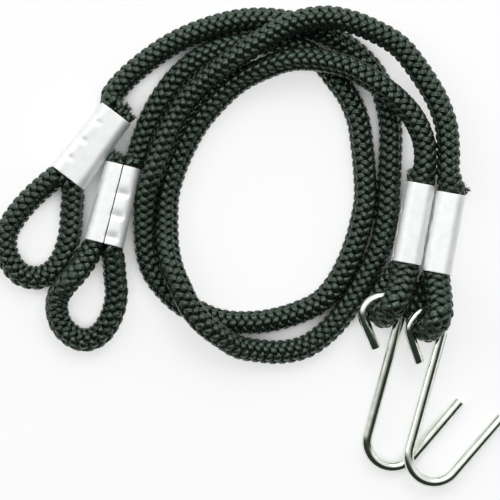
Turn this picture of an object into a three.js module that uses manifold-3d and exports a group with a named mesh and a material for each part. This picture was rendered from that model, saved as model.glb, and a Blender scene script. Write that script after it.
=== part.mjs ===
// A pair of hooked elastic tie-down cords, laid together in one loose coil.
// Each cord is a braided sheath over a rubber core. Both of its ends are folded back and crimped in an
// aluminium ferrule: one end makes a loop eye, the other a tight bight that carries a wire hook.
// Units are millimetres. +Z is up from the table, and the photograph looks straight down at the part:
// +X is to its right and +Y to its top.
import * as THREE from "three";
import Module from "manifold-3d";

const wasm = await Module();
wasm.setup();

// Cord
const CORD_D = 8;
const CORE_D = 5;
const CORD_SIDES = 8;
const CORE_SIDES = 6;
const CORD_SAG = 0.22; // the most that a straight step may cut across a bend of the cord
const MEASURE_SAG = 0.004; // closer steps, on which the gaps between strands are measured
const STRAND_GAP = 0.45; // between two strands that lie against each other
const CORE_RECESS = 0.3; // the rubber has drawn back into the sheath at the cut
const TAIL_SPREAD = [0.76, 0.98]; // the cut end's width across and through its ferrule, of a round cord's
const BIGHT_SPREAD = [0.96, 1.08]; // the cord flattens where it bends over the hook's wire
const MOUTH = 1; // how far a leg keeps its pressed section outside the ferrule
const FINE_STEPS = 40; // of a cord's curve, between two of its stops

// Ferrule: a strip rolled round two cord legs and pressed
const FERRULE_LENGTH = 30;
const FERRULE_WIDTH_CORD = 13.4; // at the end where the long cord leaves
const FERRULE_WIDTH_EYE = 15.2; // at the end where the folded cord spreads
const FERRULE_THICK = 11;
const FERRULE_WALL = 0.9;
const FERRULE_CORNER_R = 3.6;
const SEAM_GAP = 0.4;
const PRESS_MARKS = 3;
const PRESS_PITCH = 8.7;
const PRESS_LENGTH = 4.6;
const PRESS_WIDTH = 2.6;
const PRESS_DEPTH = 0.35;

// Wire hook
const WIRE_D = 4;
const WIRE_SIDES = 10;
const WIRE_CHAMFER = 0.4;
const EYE_R = 6.8; // to the middle of the wire, as are the other sizes of the hook
const EYE_SWEEP = 218;
const EYE_END = 10.5; // straight end of the wire that nearly closes the eye
const SHANK_LENGTH = 44.3;
const BEND_R = 9.7;
const PRONG_LENGTH = 27.4;
const PRONG_SPREAD = 25.5; // angle between prong and shank

// Clearances
const FIT = 0.3;
const HOOK_GAP = 1.1; // rise of one hook's shank over the other, at the start of its bend
const BIGHT_SLACK = 0.2; // how far the hook's wire sits back from the middle of the bight
const BIGHT_OPEN = 1.2; // extra room over the wire inside the bight

const CORD_R = CORD_D / 2;
const WIRE_R = WIRE_D / 2;
const BIGHT_R = CORD_R + WIRE_R + FIT + BIGHT_OPEN / 2; // of the bight's middle line round the hook's wire
const UP = new THREE.Vector3(0, 0, 1);
const DEG = Math.PI / 180;

// Heights above the table: a strand on the table is level 0, and one that lies on another is level 1.
const LEVEL_STEP = CORD_D + STRAND_GAP;
const heightOf = (level) => CORD_R + level * LEVEL_STEP;

// Cord routes, from the loop ferrule along the coil to the hook ferrule: x, y, level.
const COIL_A = [
  [-51, 56, 0.05], [-47, 61.5, 0], [-38.5, 69, 0], [-28.5, 75.7, 0], [-16.5, 81, 0],
  [-3.5, 84.3, 0], [7.5, 84.6, 0], [18.5, 83, 0], [29.5, 79, 0], [39.5, 72, 0],
  [46.5, 64, 0], [50, 55.5, 0], [52, 45.5, 0], [52, 34.5, 0], [51.5, 23.5, 0],
  [50.5, 11.5, 0], [47.5, 0, 0], [42.5, -11.5, 0], [36.5, -21.5, 0], [29.5, -30, 0],
  [20.5, -36.5, 0], [11, -38.5, 0.03], [3, -38, 0.15], [-4.5, -36.5, 0.42], [-11, -32.5, 0.8],
  [-17.5, -27.5, 1], [-22, -22, 1], [-25.5, -15, 0.98], [-28.5, -8, 0.8], [-30.3, 0, 0.48],
  [-30.6, 9.5, 0.12], [-30.2, 19.5, 0.01], [-27.8, 29, 0.01], [-24.2, 37.4, 0], [-19.7, 45.5, 0.02],
  [-12.7, 54, 0.1], [-4.2, 61.6, 0.3], [5.5, 66.5, 0.7], [15, 69.5, 1], [25, 69.5, 1.02],
  [36, 67, 1], [46, 61.5, 1.02], [54.5, 55, 1], [60.5, 48, 0.95], [64, 39.5, 0.88],
  [64.5, 30.5, 0.8],
];
const COIL_B = [
  [-42, 33.5, 0.08], [-40, 39.5, 0.02], [-37, 47.5, 0.01], [-33, 55, 0.01], [-27.5, 62.5, 0],
  [-20.5, 69, 0], [-12, 73.5, 0], [-2.5, 75.5, 0], [7.5, 75.5, 0], [17, 74, 0],
  [25, 70, 0], [31.5, 63, 0], [36.5, 56, 0], [40, 47.5, 0], [41.5, 38, 0],
  [42.5, 28, 0], [42.7, 18, 0], [40.7, 7.5, 0], [37.5, -2.5, 0], [32.8, -11.9, 0],
  [26.3, -19.6, 0], [18, -23.8, 0], [7.5, -26.8, 0], [-3.5, -27.7, 0], [-12.5, -26.5, 0],
  [-19.5, -23.5, 0], [-25.5, -20.5, 0], [-31, -15.5, 0], [-35.5, -9.5, 0], [-38, -2.5, 0],
  [-39, 5.5, 0.03], [-39, 14, 0.15], [-38, 21.5, 0.35], [-36, 28, 0.55], [-33.5, 35, 0.57],
  [-31, 41.5, 0.54], [-28, 47.5, 0.48], [-23.5, 54.5, 0.46], [-18, 60.5, 0.5], [-11.5, 66, 0.7],
  [-4.5, 71, 0.94], [3, 76, 1.04], [10.5, 80.5, 1.04], [19, 84, 1.02], [28.5, 85.2, 1.02],
  [37, 83.7, 1], [46.2, 80.1, 0.9], [55.2, 74.6, 0.8], [62.7, 65.3, 0.75], [69, 55, 0.75],
  [72.5, 45.5, 0.75], [73.5, 36.5, 0.75], [73.5, 28, 0.75],
];
// Loop eyes, from the leg of the long cord round to the leg of the tail.
const EYE_A = [
  [-75.5, 23.5, 0.08], [-81.5, 18, 0.02], [-86.5, 12, 0], [-90, 6, 0], [-90.5, 0, 0],
  [-88.5, -5.5, 0], [-85, -9.5, 0], [-79.5, -11, 0], [-74.5, -9.5, 0], [-70.5, -5.5, 0],
  [-68, 0, 0], [-66.5, 6.5, 0], [-66, 13.5, 0.02], [-65.5, 19.5, 0.08],
];
const EYE_B = [
  [-50.5, -4.5, 0.25], [-50, -10.5, 0.1], [-49.5, -16.5, 0.02], [-50.5, -23, 0.01], [-53, -28.5, 0],
  [-56.5, -32.5, 0], [-61.5, -34, 0], [-66.5, -32, 0], [-70, -28, 0.05], [-71.5, -22.5, 0.2],
  [-71, -18, 0.45], [-68, -13.5, 0.75], [-64, -9, 0.8], [-60.5, -4, 0.6],
];

// A ferrule's place: the middle of its eye end in plan, the way that it points from there, and its roll
// about that line. At roll 0 it lies flat with its seam up and the long cord on its right. Its eye end is
// lifted where its loop lies on the other one. The tail is what is left of the cut end outside it: its
// length, and how far it leans in the ferrule's x and z.
const PLACE = {
  loopA: { eyeEnd: [-67.6, 26.1], heading: 52.6, roll: 180, lift: 0, tail: [2.6, -0.4, 0] },
  loopB: { eyeEnd: [-54.2, 1.5], heading: 75.9, roll: 0, lift: 1.5, tail: [2.4, 0.6, 0] },
  hookA: { eyeEnd: [57.6, -5.7], heading: 79.5, roll: -86, lift: 0, tail: [4, -0.4, 1.8] },
  hookB: { eyeEnd: [68.9, -9.3], heading: 79.6, roll: -90, lift: 0, tail: [4, -0.4, -2.6] },
};
// A hook's place: the middle of its eye in plan, the turn of its shank from straight down the photograph,
// the twist of its eye out of the hook's plane, the angle round the eye, from its shank, at which the bight
// holds it, and how much of the wire's slope there the bight leans with.
const HOOK_A = { eye: [48.7, -24.8], heading: -14.7, eyeTwist: 0, seat: 70, lean: 1 };
const HOOK_B = { eye: [64.5, -30], heading: -15.6, eyeTwist: 18, seat: 82, lean: 0.7 };

const ferruleWidthAt = (along) =>
  FERRULE_WIDTH_EYE + (FERRULE_WIDTH_CORD - FERRULE_WIDTH_EYE) * (along / FERRULE_LENGTH);

// Distance from the middle of a ferrule to the table, at the width that it has there and for its roll.
function restHeight(width, roll) {
  const across = Math.abs(Math.sin(roll * DEG)) * (width / 2 - FERRULE_CORNER_R);
  const through = Math.abs(Math.cos(roll * DEG)) * (FERRULE_THICK / 2 - FERRULE_CORNER_R);
  return across + through + FERRULE_CORNER_R;
}

// A ferrule's own axes in the part: y along it from the eye end, x across towards the long cord, z out of
// the face with the seam.
function ferruleFrame(place) {
  const [x, y] = place.eyeEnd;
  const eyeHeight = restHeight(FERRULE_WIDTH_EYE, place.roll) + place.lift;
  const cordHeight = restHeight(FERRULE_WIDTH_CORD, place.roll);
  const pitch = Math.asin((cordHeight - eyeHeight) / FERRULE_LENGTH);
  const frame = new THREE.Matrix4().makeRotationZ(place.heading * DEG - Math.PI / 2);
  frame.multiply(new THREE.Matrix4().makeRotationX(pitch));
  frame.multiply(new THREE.Matrix4().makeRotationY(place.roll * DEG));
  return frame.setPosition(x, y, eyeHeight);
}

// The two cord legs share the ferrule's inside. Middle and half sizes of the leg on the +x side.
function legAt(along) {
  const wallSide = ferruleWidthAt(along) / 2 - FERRULE_WALL - FIT;
  const middleSide = STRAND_GAP / 2;
  return {
    middle: (wallSide + middleSide) / 2,
    across: (wallSide - middleSide) / 2,
    through: FERRULE_THICK / 2 - FERRULE_WALL - FIT,
  };
}

// One stop of a cord's route: a point, and how far the round cord is squeezed there along and across
// a direction.
const freeStop = (point) => ({ point, squeeze: [1, 1], direction: null });

function legStop(frame, along, side, lean = [0, 0]) {
  const leg = legAt(Math.min(Math.max(along, 0), FERRULE_LENGTH));
  const point = new THREE.Vector3(side * leg.middle + lean[0], along, lean[1]).applyMatrix4(frame);
  const direction = new THREE.Vector3(1, 0, 0).transformDirection(frame);
  return { point, squeeze: [leg.across / CORD_R, leg.through / CORD_R], direction };
}

// A leg through a ferrule, from its cord end to its eye end.
const legStops = (frame, side) => [
  legStop(frame, FERRULE_LENGTH + MOUTH, side),
  legStop(frame, FERRULE_LENGTH, side),
  legStop(frame, FERRULE_LENGTH / 2, side),
  legStop(frame, 0, side),
  legStop(frame, -MOUTH, side),
];
// The cut tail, spread a little, and its leg.
function tailStops(frame, place) {
  const [length, ...lean] = place.tail;
  const end = legStop(frame, FERRULE_LENGTH + length, -1, lean);
  return [{ ...end, squeeze: TAIL_SPREAD }, ...legStops(frame, -1)];
}
const routeStops = (route) =>
  route.map(([x, y, level]) => freeStop(new THREE.Vector3(x, y, heightOf(level))));

// Hook, in its own plane: the middle of its eye is the origin, and its shank runs down from the eye's right.
const bendMiddle = new THREE.Vector2(EYE_R + BEND_R, -SHANK_LENGTH);
const prongWay = new THREE.Vector2(Math.sin(PRONG_SPREAD * DEG), Math.cos(PRONG_SPREAD * DEG));
const prongRoot = new THREE.Vector2(prongWay.y, -prongWay.x).multiplyScalar(BEND_R).add(bendMiddle);
const prongTip = prongRoot.clone().addScaledVector(prongWay, PRONG_LENGTH);

// The spot of the eye that lies in the bight, and the wire's direction there.
function seatSpot({ eyeTwist, seat }) {
  const out = EYE_R * (1 - Math.cos(seat * DEG));
  const [cosTwist, sinTwist] = [Math.cos(eyeTwist * DEG), Math.sin(eyeTwist * DEG)];
  return new THREE.Vector3(EYE_R - out * cosTwist, EYE_R * Math.sin(seat * DEG), out * sinTwist);
}
function seatWay({ eyeTwist, seat }) {
  const [dx, dy] = [Math.sin(seat * DEG), -Math.cos(seat * DEG)];
  return new THREE.Vector3(dx * Math.cos(eyeTwist * DEG), dy, -dx * Math.sin(eyeTwist * DEG));
}
// The line that the bight bends round: the wire's, sloping less where the bight leans less than the wire.
function bightWay(hook, turn) {
  const way = seatWay(hook).applyQuaternion(turn);
  return way.setZ(way.z * hook.lean).normalize();
}

// A hook lies on three points: its eye on the bight's lower leg, and two more whose heights are given. Its
// tilt moves those points a little in plan, so the plane through them is found in a few rounds.
function hookFrame(hook, restA, restB) {
  const spin = new THREE.Quaternion().setFromAxisAngle(UP, hook.heading * DEG);
  const turn = spin.clone();
  let seatHeight = 0;
  for (let round = 0; round < 5; round++) {
    const bightRise = Math.sqrt(1 - bightWay(hook, turn).z ** 2);
    seatHeight = CORD_R + BIGHT_R * bightRise - BIGHT_OPEN / 2;
    const underSeat = seatHeight - seatSpot(hook).z * UP.clone().applyQuaternion(turn).z;
    const at = (spot, height) => new THREE.Vector3(spot.x, spot.y, 0).applyQuaternion(turn).setZ(height);
    const plane = new THREE.Plane().setFromCoplanarPoints(
      at(seatSpot(hook), underSeat), at(...restA), at(...restB),
    );
    const normal = plane.normal.z > 0 ? plane.normal : plane.normal.negate();
    turn.setFromUnitVectors(UP, normal).multiply(spin);
  }
  const height = seatHeight - seatSpot(hook).applyQuaternion(turn).z;
  return new THREE.Matrix4().makeRotationFromQuaternion(turn).setPosition(...hook.eye, height);
}

// Hook A lies on the table along its prong, and hook B lies across hook A's bend with its tip on the table.
const shankEnd = new THREE.Vector2(EYE_R, -SHANK_LENGTH);
const FRAME_A = hookFrame(HOOK_A, [prongRoot, WIRE_R], [prongTip, WIRE_R]);
const FRAME_B = hookFrame(HOOK_B, [shankEnd, WIRE_R + WIRE_D + HOOK_GAP], [prongTip, WIRE_R]);

// The bight goes over the hook's wire, round its front and back under it.
function bightStops(hook, frame) {
  const wireWay = bightWay(hook, new THREE.Quaternion().setFromRotationMatrix(frame));
  const tipward = new THREE.Vector3().crossVectors(wireWay, UP).normalize();
  const upward = new THREE.Vector3().crossVectors(tipward, wireWay);
  const middle = seatSpot(hook).applyMatrix4(frame);
  middle.addScaledVector(tipward, BIGHT_SLACK).addScaledVector(UP, BIGHT_OPEN / 2);
  const stops = [];
  for (let turn = 90; turn >= -90; turn -= 30) {
    const direction = upward.clone().multiplyScalar(Math.sin(turn * DEG));
    direction.addScaledVector(tipward, Math.cos(turn * DEG));
    const point = middle.clone().addScaledVector(direction, BIGHT_R);
    stops.push({ point, squeeze: turn > 30 ? BIGHT_SPREAD : [1, 1], direction });
  }
  return stops;
}

// All stops of one cord, from the tail at its loop eye to the tail at its hook.
function cordStops(loopPlace, eye, coil, hookPlace, bight) {
  const loopFerrule = ferruleFrame(loopPlace);
  const hookFerrule = ferruleFrame(hookPlace);
  return [
    ...tailStops(loopFerrule, loopPlace),
    ...routeStops(eye).reverse(),
    ...legStops(loopFerrule, 1).reverse(),
    ...routeStops(coil),
    ...legStops(hookFerrule, 1),
    ...bight,
    ...tailStops(hookFerrule, hookPlace).reverse(),
  ];
}

// Rings along a route: closer together where it bends, each with a frame carried along without twist.
function cordRings(stops, sag) {
  const curve = new THREE.CatmullRomCurve3(stops.map((stop) => stop.point), false, "centripetal");
  const spans = stops.length - 1;
  const fine = spans * FINE_STEPS;
  const points = Array.from({ length: fine + 1 }, (_, i) => curve.getPoint(i / fine));
  const tangents = Array.from({ length: fine + 1 }, (_, i) => curve.getTangent(i / fine));
  const picked = [0];
  let walked = 0;
  let turned = 0;
  for (let i = 1; i < fine; i++) {
    walked += points[i].distanceTo(points[i - 1]);
    turned += tangents[i].angleTo(tangents[i - 1]);
    const pressed = i % FINE_STEPS === 0 && stops[i / FINE_STEPS].direction;
    if (pressed || (walked * turned) / 8 >= sag) {
      picked.push(i);
      walked = 0;
      turned = 0;
    }
  }
  picked.push(fine);
  const rings = [];
  let side = new THREE.Vector3().crossVectors(tangents[0], UP).normalize();
  for (const i of picked) {
    const tangent = tangents[i];
    side = side.clone().addScaledVector(tangent, -side.dot(tangent)).normalize();
    const span = Math.min(Math.floor(i / FINE_STEPS), spans - 1);
    const share = i / FINE_STEPS - span;
    const [from, to] = [stops[span], stops[span + 1]];
    rings.push({
      point: points[i],
      tangent,
      side,
      other: new THREE.Vector3().crossVectors(tangent, side),
      direction: from.direction ?? to.direction,
      squeeze: [0, 1].map((k) => from.squeeze[k] + share * (to.squeeze[k] - from.squeeze[k])),
    });
  }
  return rings;
}

// The corners of a ring's section at a radius, pressed where the cord is squeezed.
function ringCorners(ring, sides, radius) {
  const corners = [];
  for (let k = 0; k < sides; k++) {
    const angle = (2 * Math.PI * k) / sides;
    const corner = new THREE.Vector3();
    corner.addScaledVector(ring.side, radius * Math.cos(angle));
    corner.addScaledVector(ring.other, radius * Math.sin(angle));
    if (ring.direction) {
      const across = ring.direction.clone();
      across.addScaledVector(ring.tangent, -across.dot(ring.tangent)).normalize();
      const through = new THREE.Vector3().crossVectors(ring.tangent, across);
      const [a, b] = [corner.dot(across), corner.dot(through)];
      corner.addScaledVector(across, (ring.squeeze[0] - 1) * a);
      corner.addScaledVector(through, (ring.squeeze[1] - 1) * b);
    }
    corners.push(corner.add(ring.point));
  }
  return corners;
}

// A swept solid through rings of corners, with a bore through it where bore corners are given.
function sweep(outerRings, boreRings = null) {
  const positions = [];
  const faces = [];
  const put = (rings) =>
    rings.map((ring) => ring.map((corner) => positions.push(corner.x, corner.y, corner.z) / 3 - 1));
  const skin = (ids, turned) => {
    for (let i = 0; i + 1 < ids.length; i++) {
      for (let k = 0; k < ids[i].length; k++) {
        const next = (k + 1) % ids[i].length;
        const [a, b, c, d] = [ids[i][k], ids[i][next], ids[i + 1][next], ids[i + 1][k]];
        faces.push(...(turned ? [a, c, b, a, d, c] : [a, b, c, a, c, d]));
      }
    }
  };
  const flatCircle = (sides, radius) =>
    Array.from({ length: sides }, (_, k) => {
      const angle = (2 * Math.PI * k) / sides;
      return new THREE.Vector2(radius * Math.cos(angle), radius * Math.sin(angle));
    });
  const outer = put(outerRings);
  const bore = boreRings ? put(boreRings) : null;
  skin(outer, false);
  if (bore) skin(bore, true);
  const contour = flatCircle(outer[0].length, 2);
  const holes = bore ? [flatCircle(bore[0].length, 1)] : [];
  const cap = THREE.ShapeUtils.triangulateShape(contour, holes);
  for (const last of [false, true]) {
    const end = last ? outer.length - 1 : 0;
    const ids = bore ? [...outer[end], ...bore[end]] : outer[end];
    for (const [a, b, c] of cap) {
      faces.push(ids[a], ...(last ? [ids[b], ids[c]] : [ids[c], ids[b]]));
    }
  }
  const geometry = new THREE.BufferGeometry();
  geometry.setAttribute("position", new THREE.Float32BufferAttribute(positions, 3));
  geometry.setIndex(faces);
  return geometry;
}

// The sheath's bore has the core's sides at the fit's distance from its flats.
const coreRadius = CORE_D / 2;
const boreRadius = coreRadius + FIT / Math.cos(Math.PI / CORE_SIDES);

function sheathGeometry(rings) {
  const outer = rings.map((ring) => ringCorners(ring, CORD_SIDES, CORD_R));
  const bore = rings.map((ring) => ringCorners(ring, CORE_SIDES, boreRadius));
  return sweep(outer, bore);
}
function coreGeometry(rings) {
  const drawn = rings.map((ring) => ({ ...ring, point: ring.point.clone() }));
  const last = drawn.length - 1;
  drawn[0].point.addScaledVector(drawn[0].tangent, CORE_RECESS);
  drawn[last].point.addScaledVector(drawn[last].tangent, -CORE_RECESS);
  return sweep(drawn.map((ring) => ringCorners(ring, CORE_SIDES, coreRadius)));
}

// The least distance between two strands, measured between the corners of their rings.
function leastGap(rings, others) {
  let least = Infinity;
  const along = [0];
  for (let i = 1; i < rings.length; i++) {
    along.push(along[i - 1] + rings[i].point.distanceTo(rings[i - 1].point));
  }
  const skinOf = (list) => list.map((ring) => ringCorners(ring, CORD_SIDES, CORD_R));
  const [skin, otherSkin] = [skinOf(rings), skinOf(others)];
  rings.forEach((ring, i) =>
    others.forEach((other, j) => {
      if (rings === others && along[j] - along[i] < 2 * CORD_D) return;
      if (ring.point.distanceTo(other.point) > 3 * CORD_D) return;
      for (const a of skin[i]) {
        for (const b of otherSkin[j]) least = Math.min(least, a.distanceTo(b));
      }
    }),
  );
  return { least, length: along[along.length - 1] };
}

const stopsA = cordStops(PLACE.loopA, EYE_A, COIL_A, PLACE.hookA, bightStops(HOOK_A, FRAME_A));
const stopsB = cordStops(PLACE.loopB, EYE_B, COIL_B, PLACE.hookB, bightStops(HOOK_B, FRAME_B));
const ringsA = cordRings(stopsA, CORD_SAG);
const ringsB = cordRings(stopsB, CORD_SAG);
const closeA = cordRings(stopsA, MEASURE_SAG);
const closeB = cordRings(stopsB, MEASURE_SAG);
for (const [name, rings] of [["cord_a", closeA], ["cord_b", closeB]]) {
  const { least, length } = leastGap(rings, rings);
  console.log(`${name}: ${length.toFixed(0)} mm long, least gap to itself ${least.toFixed(2)} mm`);
}
console.log(`least gap between the cords ${leastGap(closeA, closeB).least.toFixed(2)} mm`);

// Ferrule: the strip's section is open at its seam, and both wide faces have press marks by the long cord.
function ferruleGeometry() {
  const half = FERRULE_WIDTH_CORD / 2;
  const thick = FERRULE_THICK / 2;
  const section = new THREE.Shape();
  section.moveTo(SEAM_GAP / 2, thick);
  roundedRun(section, half, thick, FERRULE_CORNER_R, true);
  section.lineTo(-SEAM_GAP / 2, thick);
  section.lineTo(-SEAM_GAP / 2, thick - FERRULE_WALL);
  roundedRun(section, half - FERRULE_WALL, thick - FERRULE_WALL, FERRULE_CORNER_R - FERRULE_WALL, false);
  section.lineTo(SEAM_GAP / 2, thick - FERRULE_WALL);
  const strip = new THREE.ExtrudeGeometry(section, {
    depth: FERRULE_LENGTH, steps: 1, curveSegments: 5, bevelEnabled: false,
  });
  strip.rotateX(Math.PI / 2).translate(0, FERRULE_LENGTH, 0);
  const place = strip.getAttribute("position");
  for (let i = 0; i < place.count; i++) {
    const spread = (ferruleWidthAt(place.getY(i)) - FERRULE_WIDTH_CORD) / 2;
    const share = place.getX(i) / (half - FERRULE_CORNER_R);
    place.setX(i, place.getX(i) + spread * Math.max(-1, Math.min(1, share)));
  }
  let solid = solidOf(strip);
  for (const face of [1, -1]) {
    for (let k = 0; k < PRESS_MARKS; k++) {
      const along = FERRULE_LENGTH / 2 + (k - (PRESS_MARKS - 1) / 2) * PRESS_PITCH;
      solid = solid.subtract(solidOf(pressMark(legAt(along).middle, along, face)));
    }
  }
  return geometryOf(solid);
}

// Four rounded corners of a section, from its top middle round clockwise, or back the other way.
function roundedRun(shape, half, thick, radius, clockwise) {
  const corners = [
    [half - radius, thick - radius, 90], [half - radius, radius - thick, 0],
    [radius - half, radius - thick, -90], [radius - half, thick - radius, -180],
  ];
  if (!clockwise) corners.reverse();
  for (const [x, y, start] of corners) {
    const [from, to] = clockwise ? [start, start - 90] : [start - 90, start];
    shape.absarc(x, y, radius, from * DEG, to * DEG, clockwise);
  }
}

// A shallow oval dent: the cap of a ball that is wide and long for its depth.
function pressMark(across, along, face) {
  const ball = new THREE.SphereGeometry(1, 14, 10);
  const reach = 0.6; // share of the ball's radius that stands outside the face
  const rim = Math.sqrt(1 - reach * reach);
  const height = PRESS_DEPTH / (1 - reach);
  ball.scale(PRESS_LENGTH / 2 / rim, PRESS_WIDTH / 2 / rim, height);
  return ball.translate(across, along, face * (FERRULE_THICK / 2 + reach * height));
}

function solidOf(geometry) {
  const corners = new Map();
  const vertices = [];
  const faces = [];
  const place = geometry.getAttribute("position");
  const index = geometry.getIndex();
  for (let i = 0; i < (index ? index.count : place.count); i++) {
    const v = index ? index.getX(i) : i;
    const corner = [place.getX(v), place.getY(v), place.getZ(v)];
    const key = corner.map((value) => Math.round(value * 1e4)).join();
    if (!corners.has(key)) corners.set(key, vertices.push(...corner) / 3 - 1);
    faces.push(corners.get(key));
  }
  const kept = [];
  for (let i = 0; i < faces.length; i += 3) {
    const [a, b, c] = faces.slice(i, i + 3);
    if (a !== b && b !== c && c !== a) kept.push(a, b, c);
  }
  const mesh = new wasm.Mesh({
    numProp: 3, vertProperties: new Float32Array(vertices), triVerts: new Uint32Array(kept),
  });
  return new wasm.Manifold(mesh);
}

function geometryOf(solid) {
  const mesh = solid.getMesh();
  const geometry = new THREE.BufferGeometry();
  geometry.setAttribute("position", new THREE.Float32BufferAttribute(mesh.vertProperties, 3));
  geometry.setIndex(Array.from(mesh.triVerts));
  return geometry;
}

// The wire's middle line from the eye's cut end to the prong's tip, as points with their directions.
function hookLine(eyeTwist) {
  const line = [];
  const add = (x, y, dx, dy) => line.push([x, y, dx, dy]);
  const eyeEnd = EYE_SWEEP * DEG;
  const [ex, ey] = [EYE_R * Math.cos(eyeEnd), EYE_R * Math.sin(eyeEnd)];
  const [tx, ty] = [Math.sin(eyeEnd), -Math.cos(eyeEnd)];
  add(ex - tx * EYE_END, ey - ty * EYE_END, tx, ty);
  const eyeSteps = Math.round(EYE_SWEEP / 12);
  for (let i = 0; i <= eyeSteps; i++) {
    const angle = eyeEnd * (1 - i / eyeSteps);
    add(EYE_R * Math.cos(angle), EYE_R * Math.sin(angle), Math.sin(angle), -Math.cos(angle));
  }
  const bendSweep = 180 - PRONG_SPREAD;
  const bendSteps = Math.round(bendSweep / 12);
  for (let i = 0; i <= bendSteps; i++) {
    const angle = Math.PI + (bendSweep * DEG * i) / bendSteps;
    const [c, s] = [Math.cos(angle), Math.sin(angle)];
    add(bendMiddle.x + BEND_R * c, bendMiddle.y + BEND_R * s, -s, c);
  }
  add(prongTip.x, prongTip.y, prongWay.x, prongWay.y);
  const [cosTwist, sinTwist] = [Math.cos(eyeTwist * DEG), Math.sin(eyeTwist * DEG)];
  return line.map(([x, y, dx, dy]) => {
    const out = y > 0 || x < EYE_R - WIRE_D ? x - EYE_R : 0;
    const turned = out === 0 ? 0 : dx;
    return {
      point: new THREE.Vector3(x + out * (cosTwist - 1), y, -out * sinTwist),
      tangent: new THREE.Vector3(dx + turned * (cosTwist - 1), dy, -turned * sinTwist).normalize(),
    };
  });
}

function hookGeometry(eyeTwist) {
  const line = hookLine(eyeTwist);
  const first = line[0];
  const last = line[line.length - 1];
  const inset = (end, by) => ({ ...end, point: end.point.clone().addScaledVector(end.tangent, by) });
  const stations = [
    { ...first, radius: WIRE_R - WIRE_CHAMFER }, { ...inset(first, WIRE_CHAMFER), radius: WIRE_R },
    ...line.slice(1, -1).map((station) => ({ ...station, radius: WIRE_R })),
    { ...inset(last, -WIRE_CHAMFER), radius: WIRE_R }, { ...last, radius: WIRE_R - WIRE_CHAMFER },
  ];
  let side = UP.clone();
  return sweep(
    stations.map(({ point, tangent, radius }) => {
      side = side.clone().addScaledVector(tangent, -side.dot(tangent)).normalize();
      const ring = { point, tangent, side, other: new THREE.Vector3().crossVectors(tangent, side) };
      return ringCorners(ring, WIRE_SIDES, radius);
    }),
  );
}

// Materials
const material = (color, roughness, metalness) =>
  new THREE.MeshStandardMaterial({ color, roughness, metalness });
const braid = material(0x24272a, 0.75, 0);
const rubber = material(0x3b3732, 0.9, 0);
const aluminium = material(0xd9dcdd, 0.35, 1);
const zinc = material(0xc9cec6, 0.22, 1);

const part = new THREE.Group();
part.name = "hooked_elastic_cords";
const addMesh = (name, geometry, look) => {
  const mesh = new THREE.Mesh(geometry, look);
  mesh.name = name;
  part.add(mesh);
  return mesh;
};

addMesh("cord_a_sheath", sheathGeometry(ringsA), braid);
addMesh("cord_a_core", coreGeometry(ringsA), rubber);
addMesh("cord_b_sheath", sheathGeometry(ringsB), braid);
addMesh("cord_b_core", coreGeometry(ringsB), rubber);

const ferrule = ferruleGeometry();
addMesh("ferrule_loop_a", ferrule, aluminium).applyMatrix4(ferruleFrame(PLACE.loopA));
addMesh("ferrule_loop_b", ferrule, aluminium).applyMatrix4(ferruleFrame(PLACE.loopB));
addMesh("ferrule_hook_a", ferrule, aluminium).applyMatrix4(ferruleFrame(PLACE.hookA));
addMesh("ferrule_hook_b", ferrule, aluminium).applyMatrix4(ferruleFrame(PLACE.hookB));

addMesh("hook_a", hookGeometry(HOOK_A.eyeTwist), zinc).applyMatrix4(FRAME_A);
addMesh("hook_b", hookGeometry(HOOK_B.eyeTwist), zinc).applyMatrix4(FRAME_B);

export default part;
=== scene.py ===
# %% [markdown]
# # A pair of hooked elastic tie-down cords
#
# Two black elastic cords lie together in one loose coil. Each is a braided sheath over rubber threads. One end
# of each cord is folded into a loop, the other into a tight bight round a wire hook, and every fold is held by
# a pressed aluminium ferrule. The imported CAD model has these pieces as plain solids. This script puts a dressed
# piece in the place of each: the braid is woven strand by strand, the ferrules are rolled from a strip and the
# hooks are bent from wire.

# %% Load the frame
from math import asin, cos, pi, radians, sin, sqrt

import bmesh
import bpy
import numpy as np
from mathutils import Matrix, Vector, noise


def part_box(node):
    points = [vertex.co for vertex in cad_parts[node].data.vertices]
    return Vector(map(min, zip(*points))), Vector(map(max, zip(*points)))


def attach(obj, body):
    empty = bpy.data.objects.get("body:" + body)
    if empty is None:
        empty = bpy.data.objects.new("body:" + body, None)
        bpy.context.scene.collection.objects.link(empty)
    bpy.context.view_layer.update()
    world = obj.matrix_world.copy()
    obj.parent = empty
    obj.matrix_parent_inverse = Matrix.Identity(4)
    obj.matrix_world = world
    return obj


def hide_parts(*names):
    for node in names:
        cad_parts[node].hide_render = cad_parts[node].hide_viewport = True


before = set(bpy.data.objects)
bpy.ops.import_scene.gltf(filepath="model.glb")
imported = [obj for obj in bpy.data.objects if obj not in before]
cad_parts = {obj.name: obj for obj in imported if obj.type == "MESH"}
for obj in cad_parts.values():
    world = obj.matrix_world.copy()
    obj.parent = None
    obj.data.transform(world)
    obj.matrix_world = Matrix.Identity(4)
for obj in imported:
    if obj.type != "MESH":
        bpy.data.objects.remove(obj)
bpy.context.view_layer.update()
MM = 0.001
UP = Vector((0, 0, 1))

# %% [markdown]
# ## Camera
#
# The photograph looks straight down on the table, and strands that lie on others hardly stand further out in it,
# so it was taken from some way off. An orthographic camera would show no such shift at all. This is a very long
# lens at three metres, and its picture is 185 mm wide at the height of a strand on the table.

# %% Camera
PICTURE_WIDTH = 185.2 * MM
PICTURE_MIDDLE = Vector((0, -0.7 * MM, 4 * MM))
LENS = 600

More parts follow.
